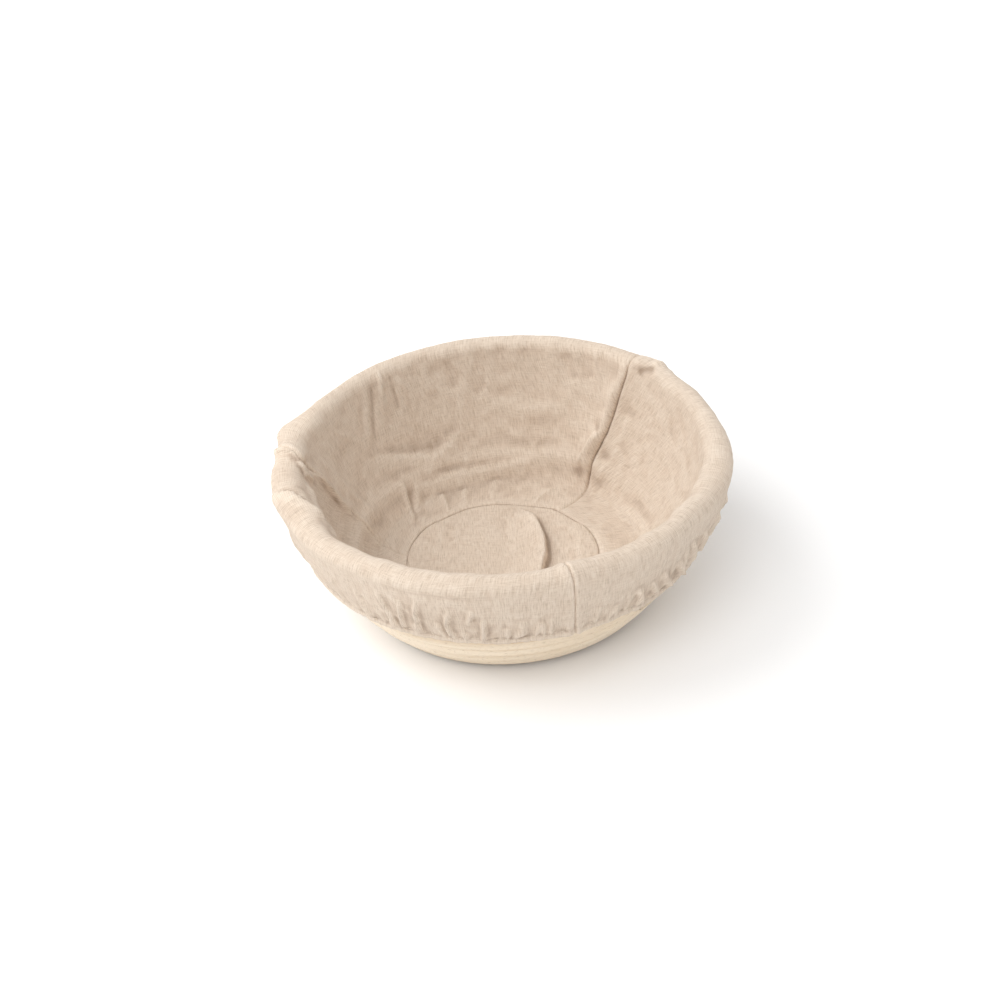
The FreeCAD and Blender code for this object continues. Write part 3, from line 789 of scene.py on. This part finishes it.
def make_threads():
    """The stitches of each seam, by the node they stand for."""
    pieces = {}
    for seed, (seam, node) in enumerate(SEAM_NODES.items()):
        reach = np.linspace(DISC_RADIUS + 1.0, CREST_REACH + 2.0, 400)
        name = "side_seam_thread_" + node
        pieces[name] = stitch_line(name, seed, reach, seam_azimuth(seam, reach), SEAM_SINK, **SEAM_STITCH)
    parts = []
    for seed, seam in enumerate(SEAM_NODES):
        reach = np.linspace(CREST_REACH + 3.0, HEM_REACH - 2.0, 220)
        parts.append(stitch_line("skirt_seam_threads", seed + 5, reach, seam_azimuth(seam, reach), SEAM_SINK,
                                 **SEAM_STITCH))
    pieces["skirt_seam_threads"] = joined(parts)
    azimuth = np.linspace(0.0, 360.0, 1200)
    reach = np.full(azimuth.shape, DISC_RADIUS - 0.1)
    pieces["floor_seam_thread"] = stitch_line("floor_seam_thread", 9, reach, azimuth, FLOOR_SINK,
                                              **SEAM_STITCH)
    azimuth = np.linspace(0.0, 360.0, 2400)
    wander = 0.25 * np.sin(np.radians(azimuth) * 7.0) + 0.2 * np.sin(np.radians(azimuth) * 17.0 + 1.0)
    pieces["hem_thread"] = stitch_line("hem_thread", 10, HEM_REACH - HEM_STITCH_ABOVE + wander, azimuth,
                                       HEM_LIFT, **HEM_STITCH)
    return pieces


def joined(parts):
    """Several objects as one, under the first one's name."""
    bpy.ops.object.select_all(action="DESELECT")
    for part in parts:
        part.select_set(True)
    bpy.context.view_layer.objects.active = parts[0]
    bpy.ops.object.join()
    return parts[0]


ELASTIC_RADIUS = 1.0
ELASTIC_REACH = HEM_REACH - 1.7
ELASTIC_POINTS, ELASTIC_SIDES = 420, 14


def make_elastic():
    """Round elastic in the hem: it follows the hem's small waves."""
    azimuth = np.linspace(0.0, 360.0, ELASTIC_POINTS + 1)
    theta = np.radians(azimuth)
    reach = np.full(azimuth.shape, ELASTIC_REACH)
    r, z, nr, nz = liner_section(reach)
    shift_out, shift_up = lip_shift(reach, azimuth)
    r = r + nr * 0.3 + shift_out
    z = z + nz * 0.3 + 0.12 * np.sin(theta * 23.0) + shift_up
    girth = np.linspace(0.0, 2.0 * math.pi, ELASTIC_SIDES + 1)[:, None]
    ribs = ELASTIC_RADIUS * (1.0 + 0.03 * np.cos(girth * 7.0))
    out, up = ribs * np.cos(girth), ribs * np.sin(girth)
    points = on_cylinder(azimuth, r + out * nr - up * nz, z + out * nz + up * nr)
    skin = np.meshgrid(theta * 100.0, girth * ELASTIC_RADIUS)
    piece = grid_mesh("hem_elastic_shown", points, np.stack(skin, axis=-1))
    weld(piece)
    return piece


WELD_DISTANCE = 1e-6       # metres


def weld(piece, capped=False):
    """Joins points that fall together, closes open ends if asked to, and turns all faces outward."""
    mesh = bmesh.new()
    mesh.from_mesh(piece.data)
    bmesh.ops.remove_doubles(mesh, verts=mesh.verts, dist=WELD_DISTANCE)
    if capped:
        rims = [edge for edge in mesh.edges if edge.is_boundary]
        for face in bmesh.ops.holes_fill(mesh, edges=rims, sides=0)["faces"]:
            face.smooth = False
    bmesh.ops.recalc_face_normals(mesh, faces=mesh.faces)
    mesh.to_mesh(piece.data)
    mesh.free()


# ======== cane ========

CANE_STEP = 2.4            # along the cane, between two rings of points
CANE_SIDES = 22
CANE_PRESS = 1.05          # the turns bear on each other, so the cane is a little wider that way
CANE_FLAT = 4.57           # from its centre to the flats where two turns lie together
RIM_TIP_PART = 20.0 / 360.0        # share of a turn over which the rim's end is pared away
RIM_TIP_THICKNESS = 0.8
RIM_BEARING = 0.05         # between the level rim's underside and the turn below


def turn_azimuth(turn):
    return RIM_END_AZIMUTH + 360.0 * (turn - END_TURN)


def rim_drop(turn):
    """Height of the pared underside of the level rim over its centre line."""
    return START_RADIUS + TURN_PITCH * turn - CANE_FLAT + RIM_BEARING - RIM_RUN


def scarf_cut(turns, start, length):
    """Where the slanted face of a scarf joint lies across the cane."""
    return np.clip(CANE_FLAT - 2.0 * CANE_FLAT * (turns - start) / length, -CANE_FLAT, CANE_FLAT)[:, None]


def make_cane(name):
    """One length of the coil, with its scarfed ends and small unevenness."""
    first, last = CANE_ENDS[name]
    start_scarf = end_scarf = None
    if first > 0.0:
        start_scarf = (first, scarf_turns(first))
    if last < END_TURN:
        end_scarf = (last, scarf_turns(last))
        last = last + end_scarf[1]
    turns = turn_line(first, last)
    run = np.minimum(START_RADIUS + TURN_PITCH * turns, RIM_RUN)
    r, z, tr, tz = meridian(run)
    azimuth = turn_azimuth(turns)
    steps = np.linalg.norm(np.diff(on_cylinder(azimuth, r, 0.0 * r), axis=0), axis=1)
    length = np.concatenate([[0.0], np.cumsum(steps)])
    girth = np.linspace(0.0, 2.0 * math.pi, CANE_SIDES + 1)
    every_ring = np.ones((len(turns), 1))
    out = CANE_RADIUS * np.cos(girth) * every_ring
    along = CANE_PRESS * CANE_RADIUS * np.sin(girth) * every_ring
    seed = list(CANE_ENDS).index(name)
    lumps = np.stack([length[:, None] / 34.0 + 0.0 * out, np.cos(girth) * 0.5 * every_ring,
                      np.sin(girth) * 0.5 * every_ring], axis=-1)
    swell = 0.988 + 0.016 * noise(lumps, 80 + seed) + 0.006 * noise(lumps * 4.0, 90 + seed)
    sway = 0.12 * noise(np.stack([length / 55.0, 0.0 * length, 0.0 * length + seed], axis=-1), 60)
    out = out * swell + sway[:, None]
    along = np.clip(along * swell, -CANE_FLAT, CANE_FLAT)
    if start_scarf:
        along = np.maximum(along, scarf_cut(turns, *start_scarf))
    if end_scarf:
        along = np.minimum(along, scarf_cut(turns, *end_scarf))
    if name == "rim_cane":
        level = turns > END_TURN - LEVEL_PART
        floor_of_rim = np.where(level, rim_drop(turns), -CANE_FLAT)
        along = np.maximum(along, floor_of_rim[:, None])
        tip = np.clip((turns - END_TURN + RIM_TIP_PART) / RIM_TIP_PART, 0.0, 1.0)
        top = CANE_FLAT - tip * (CANE_FLAT - rim_drop(END_TURN) - RIM_TIP_THICKNESS)
        along = np.minimum(along, top[:, None])
    radial = r[:, None] + out * tz[:, None] + along * tr[:, None]
    height = z[:, None] - out * tr[:, None] + along * tz[:, None]
    if name == "floor_cane":
        height = np.maximum(height, 0.0)
    points = on_cylinder(azimuth[:, None], radial, height)
    points = np.swapaxes(points, 0, 1)             # rows go round the cane, columns along it
    skin = np.meshgrid(length + 97.0 * seed, girth * CANE_RADIUS)
    piece = grid_mesh(name + "_shown", points, np.stack(skin, axis=-1))
    weld(piece, capped=True)
    return piece


def scarf_turns(turn):
    """Length of a scarf joint, in turns."""
    r = float(meridian(START_RADIUS + TURN_PITCH * turn)[0])
    return SCARF_LENGTH / (2.0 * math.pi * r)


def turn_line(first, last):
    """Places along the coil, in turns, a cane step apart."""
    turns = [first]
    while turns[-1] < last:
        r = float(meridian(min(START_RADIUS + TURN_PITCH * turns[-1], RIM_RUN))[0])
        turns.append(turns[-1] + CANE_STEP / (2.0 * math.pi * max(r, 6.0)))
    turns[-1] = last
    return np.array(turns)


# ======== materials ========

class Nodes:
    """Short forms for building a material's node tree."""

    def __init__(self, name):
        self.material = bpy.data.materials.new(name)
        self.material.use_nodes = True
        self.tree = self.material.node_tree
        self.tree.nodes.clear()
        self.shader = self.node("BsdfPrincipled")
        self.node("OutputMaterial", {"Surface": self.shader.outputs["BSDF"]})

    def put(self, socket, value):
        if isinstance(value, bpy.types.NodeSocket):
            self.tree.links.new(value, socket)
        else:
            socket.default_value = value

    def node(self, kind, inputs=None, **settings):
        """A new node; each of its inputs is a plain value or the output of another node."""
        node = self.tree.nodes.new("ShaderNode" + kind)
        for name, value in settings.items():
            setattr(node, name, value)
        for key, value in (inputs or {}).items():
            self.put(node.inputs[key], value)
        return node

    def math(self, operation, a, b=0.0, c=0.0):
        return self.node("Math", {0: a, 1: b, 2: c}, operation=operation).outputs[0]

    def uv(self, layer):
        return self.node("UVMap", uv_map=layer).outputs[0]

    def attribute(self, name):
        return self.node("Attribute", attribute_name=name).outputs["Fac"]

    def place(self):
        return self.node("TexCoord").outputs["Object"]

    def parts(self, vector):
        return self.node("SeparateXYZ", {0: vector}).outputs

    def stretched(self, vector, scale):
        return self.node("Mapping", {"Vector": vector, "Scale": scale}).outputs[0]

    def noise(self, vector, scale, detail=2.0, roughness=0.5, distortion=0.0):
        inputs = {"Vector": vector, "Scale": scale, "Detail": detail, "Roughness": roughness,
                  "Distortion": distortion}
        return self.node("TexNoise", inputs).outputs["Fac"]

    def ramp(self, factor, stops):
        node = self.node("ValToRGB", {"Fac": factor})
        elements = node.color_ramp.elements
        while len(elements) < len(stops):
            elements.new(0.5)
        for element, (position, colour) in zip(elements, stops):
            element.position = position
            element.color = colour if hasattr(colour, "__len__") else (colour, colour, colour, 1.0)
        return node.outputs["Color"]

    def mix(self, factor, a, b, blend="MIX"):
        return self.node("Mix", {0: factor, 6: a, 7: b}, data_type="RGBA", blend_type=blend).outputs[2]

    def bump(self, height, distance, strength=1.0, before=None):
        inputs = {"Height": height, "Distance": distance, "Strength": strength}
        if before is not None:
            inputs["Normal"] = before
        return self.node("Bump", inputs).outputs[0]

    def set(self, **values):
        for name, value in values.items():
            self.put(self.shader.inputs[name.replace("_", " ")], value)


def srgb(red, green, blue):
    """Linear colour from values on the usual 0 to 255 scale."""
    def linear(value):
        value /= 255.0
        return value / 12.92 if value <= 0.04045 else ((value + 0.055) / 1.055) ** 2.4
    return (linear(red), linear(green), linear(blue), 1.0)


THREAD_PITCH = 0.00056     # metres between two threads of the linen


def linen_material():
    n = Nodes("natural_linen")
    cloth = n.uv("cloth")
    u, v, _ = n.parts(cloth)
    sway = n.noise(cloth, 260.0, 2.0)
    sway_other = n.noise(n.stretched(cloth, (1.7, 0.8, 1.0)), 310.0, 2.0)
    warp = n.math("MULTIPLY_ADD", u, math.pi / THREAD_PITCH, n.math("MULTIPLY", sway, 2.2))
    weft = n.math("MULTIPLY_ADD", v, math.pi / THREAD_PITCH, n.math("MULTIPLY", sway_other, 2.2))
    warp_wave, weft_wave = n.math("SINE", warp), n.math("SINE", weft)
    warp_round, weft_round = n.math("ABSOLUTE", warp_wave), n.math("ABSOLUTE", weft_wave)
    parity = n.math("GREATER_THAN", n.math("MULTIPLY", warp_wave, weft_wave), 0.0)
    warp_top = n.math("MULTIPLY", warp_round, n.math("MULTIPLY_ADD", weft_round, 0.5, 0.5))
    weft_top = n.math("MULTIPLY", weft_round, n.math("MULTIPLY_ADD", warp_round, 0.5, 0.5))
    over = n.math("ADD", n.math("MULTIPLY", parity, warp_top),
                  n.math("MULTIPLY", n.math("SUBTRACT", 1.0, parity), weft_top))
    # slubs: single threads that are thicker or darker for a centimetre or two
    slub_warp = n.noise(n.stretched(cloth, (1.0 / THREAD_PITCH, 170.0, 1.0)), 1.0, 2.0, 0.6)
    slub_weft = n.noise(n.stretched(cloth, (140.0, 1.0 / THREAD_PITCH, 1.0)), 1.0, 2.0, 0.6)
    slubs = n.math("MULTIPLY_ADD", slub_warp, 1.3, n.math("MULTIPLY", slub_weft, 0.7))
    patches = n.noise(n.place(), 38.0, 3.0, 0.55)
    fuzz = n.noise(cloth, 5200.0, 2.0)
    base = n.ramp(patches, [(0.3, srgb(219, 201, 182)), (0.7, srgb(229, 213, 195))])
    streaks = n.ramp(n.math("MULTIPLY", slubs, 0.5),
                     [(0.34, srgb(176, 156, 135)), (0.5, srgb(222, 206, 189)), (0.68, srgb(243, 232, 218))])
    colour = n.mix(0.5, base, streaks)
    gaps = n.ramp(over, [(0.0, srgb(180, 160, 139)), (0.55, srgb(255, 255, 255))])
    colour = n.mix(0.4, colour, gaps, "MULTIPLY")
    # painted shade darkens the folds in their creases, and a painted highlight makes them a little paler
    # along their ridges
    crease = n.attribute("crease")
    fold_shade_and_highlight = n.ramp(n.math("MULTIPLY_ADD", crease, 0.5, 0.5),
                  [(0.12, srgb(176, 160, 148)), (0.44, srgb(244, 240, 237)), (0.5, srgb(250, 249, 248)),
                   (0.75, srgb(255, 255, 255))])
    colour = n.mix(0.65, colour, fold_shade_and_highlight, "MULTIPLY")
    relief = n.math("MULTIPLY_ADD", slubs, 0.9, over)
    relief = n.math("MULTIPLY_ADD", fuzz, 0.25, relief)
    crumple = n.noise(n.place(), 330.0, 4.0, 0.6, 0.6)
    coarse = n.bump(crumple, 0.0009, 0.5)
    n.set(Base_Color=colour, Roughness=0.88, Sheen_Weight=0.22, Sheen_Roughness=0.5,
          Sheen_Tint=srgb(255, 246, 235), Specular_IOR_Level=0.28, IOR=1.5,
          Normal=n.bump(relief, 0.00022, 0.75, coarse))
    return n.material


def rattan_material():
    n = Nodes("rattan_cane")
    skin = n.uv("cloth")
    fibres = n.noise(n.stretched(skin, (55.0, 2600.0, 1.0)), 1.0, 4.0, 0.55)
    bands = n.noise(n.stretched(skin, (9.0, 210.0, 1.0)), 1.0, 3.0, 0.6)
    lengths = n.noise(n.stretched(skin, (14.0, 30.0, 1.0)), 1.0, 2.0)
    dashes = n.noise(n.stretched(skin, (420.0, 5200.0, 1.0)), 1.0, 1.0, 0.4)
    base = n.ramp(bands, [(0.28, srgb(218, 196, 168)), (0.5, srgb(230, 212, 188)),
                          (0.75, srgb(240, 226, 206))])
    colour = n.mix(0.3, base, n.ramp(lengths, [(0.3, srgb(234, 214, 186)), (0.7, srgb(246, 236, 219))]))
    colour = n.mix(0.14, colour, n.ramp(fibres, [(0.3, srgb(206, 180, 144)), (0.6, srgb(248, 238, 220))]))
    # painted shade darkens the grooves between turns, a quarter of the way round on each side
    _, girth, _ = n.parts(skin)
    beside = n.math("ABSOLUTE", n.math("SINE", n.math("MULTIPLY", girth, 1.0 / (CANE_RADIUS * MM))))
    colour = n.mix(0.75, colour, n.ramp(beside, [(0.72, srgb(255, 255, 255)), (0.86, srgb(232, 216, 194)),
                                                 (0.97, srgb(176, 148, 116))]), "MULTIPLY")
    pores = n.ramp(dashes, [(0.26, srgb(150, 120, 84)), (0.34, srgb(255, 255, 255))])
    colour = n.mix(0.65, colour, pores, "MULTIPLY")
    roughness = n.math("MULTIPLY_ADD", fibres, 0.3, 0.42)
    pits = n.bump(n.ramp(dashes, [(0.26, 0.0), (0.36, 1.0)]), 0.0002, 0.6)
    n.set(Base_Color=colour, Roughness=roughness, Specular_IOR_Level=0.4, IOR=1.5,
          Normal=n.bump(fibres, 0.00035, 0.7, pits))
    return n.material


def steel_material():
    n = Nodes("brad_steel")
    grain = n.noise(n.place(), 3200.0, 3.0, 0.6)
    n.set(Base_Color=n.ramp(grain, [(0.3, srgb(150, 148, 144)), (0.7, srgb(198, 196, 192))]),
          Metallic=1.0, Roughness=n.math("MULTIPLY_ADD", grain, 0.25, 0.28), IOR=2.5,
          Normal=n.bump(grain, 0.00004, 0.5))
    return n.material


def thread_material():
    n = Nodes("cotton_thread")
    ply = n.noise(n.place(), 2600.0, 2.0)
    n.set(Base_Color=n.ramp(ply, [(0.3, srgb(205, 189, 168)), (0.7, srgb(233, 221, 203))]),
          Roughness=0.75, Sheen_Weight=0.2, IOR=1.5, Normal=n.bump(ply, 0.0001, 0.6))
    return n.material


def elastic_material():
    n = Nodes("covered_elastic")
    skin = n.uv("cloth")
    braid = n.noise(n.stretched(skin, (1800.0, 900.0, 1.0)), 1.0, 1.0)
    n.set(Base_Color=n.ramp(braid, [(0.3, srgb(208, 204, 196)), (0.7, srgb(236, 233, 227))]),
          Roughness=0.7, IOR=1.5, Normal=n.bump(braid, 0.0001, 0.6))
    return n.material


def floor_material():
    n = Nodes("studio_floor")
    mottle = n.noise(n.place(), 3.0, 2.0)
    n.set(Base_Color=n.ramp(mottle, [(0.3, srgb(244, 244, 244)), (0.7, srgb(246, 246, 246))]),
          Roughness=0.85, Specular_IOR_Level=0.1)
    return n.material


def coat(piece, material):
    piece.data.materials.clear()
    piece.data.materials.append(material)


# ======== assembly ========


def hand_in(piece, material, body, slot, *nodes):
    """Gives a piece its material and body, and hides the CAD nodes it stands for; the slot is not used."""
    coat(piece, material)
    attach(piece, body)
    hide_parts(*nodes)
    return piece


def build_object():
    linen, cane = linen_material(), rattan_material()
    steel, thread, elastic = steel_material(), thread_material(), elastic_material()
    canes = [hand_in(make_cane(name), cane, "basket", "rattan", name) for name in CANE_ENDS]
    for name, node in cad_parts.items():
        if name.endswith("_brads"):
            for holder in node.material_slots:
                holder.material = steel
    for name in PANEL_SIDES:
        panel = hand_in(make_panel(name), linen, "liner", "liner_linen", "liner_panel_" + name,
                        "liner_skirt_" + name)
    disc = hand_in(make_disc(), linen, "liner", "liner_linen", "liner_floor_disc")
    for node, piece in make_threads().items():
        hand_in(piece, thread, "liner", "thread", node)
    hand_in(make_elastic(), elastic, "liner", "elastic", "hem_elastic")


# ======== camera, floor and light ========

CAMERA_TARGET = Vector((-0.0022, 0.0, 0.0476))
CAMERA_DISTANCE = 0.971
CAMERA_ELEVATION = math.radians(35.86)
CAMERA_ROLL = math.radians(-4.72)
CAMERA_LENS, CAMERA_SENSOR = 68.8, 36.0


def add_camera():
    data = bpy.data.cameras.new("camera")
    data.lens = CAMERA_LENS
    data.sensor_width = CAMERA_SENSOR
    data.clip_start = 0.01
    back = Vector((0.0, -math.cos(CAMERA_ELEVATION), math.sin(CAMERA_ELEVATION)))
    right = Vector((1.0, 0.0, 0.0))
    up = Vector((0.0, math.sin(CAMERA_ELEVATION), math.cos(CAMERA_ELEVATION)))
    across = right * math.cos(CAMERA_ROLL) + up * math.sin(CAMERA_ROLL)
    over = up * math.cos(CAMERA_ROLL) - right * math.sin(CAMERA_ROLL)
    camera = bpy.data.objects.new("camera", data)
    spot = CAMERA_TARGET + back * CAMERA_DISTANCE
    turn = Matrix((across, over, back)).transposed().to_4x4()
    camera.matrix_world = Matrix.Translation(spot) @ turn
    bpy.context.collection.objects.link(camera)
    bpy.context.scene.camera = camera


FLOOR_HALF_WIDTH = 4.0     # metres
FLOOR_LINES = 9
FLOOR_TOP = -0.0002


def add_floor():
    line = np.linspace(-FLOOR_HALF_WIDTH, FLOOR_HALF_WIDTH, FLOOR_LINES)
    mesh = bpy.data.meshes.new("studio_floor")
    corners = [(x, y, FLOOR_TOP) for y in line for x in line]
    mesh.from_pydata(corners, [], cells(np.arange(FLOOR_LINES ** 2).reshape(FLOOR_LINES, -1)).tolist())
    floor = bpy.data.objects.new("studio_floor", mesh)
    bpy.context.collection.objects.link(floor)
    coat(floor, floor_material())


LIGHT_AIM = Vector((0.0, 0.0, 0.04))
WORLD_STRENGTH = 0.88


def add_light(name, place, size, power):
    data = bpy.data.lights.new(name, "AREA")
    data.shape = "DISK"
    data.size = size
    data.energy = power
    light = bpy.data.objects.new(name, data)
    light.location = place
    light.rotation_euler = (LIGHT_AIM - Vector(place)).to_track_quat("-Z", "Y").to_euler()
    bpy.context.collection.objects.link(light)


def add_world():
    world = bpy.data.worlds.new("studio")
    world.use_nodes = True
    background = world.node_tree.nodes["Background"]
    background.inputs["Color"].default_value = (1.0, 1.0, 1.0, 1.0)
    background.inputs["Strength"].default_value = WORLD_STRENGTH
    bpy.context.scene.world = world


def light_scene():
    add_world()
    add_light("key", (-1.25, 0.3, 1.3), 1.7, 19.0)
    add_light("fill", (-0.6, -1.15, 1.7), 1.4, 12.6)
    bpy.context.scene.view_settings.view_transform = "Standard"
    bpy.context.scene.view_settings.look = "None"


add_camera()
add_floor()
light_scene()
build_object()
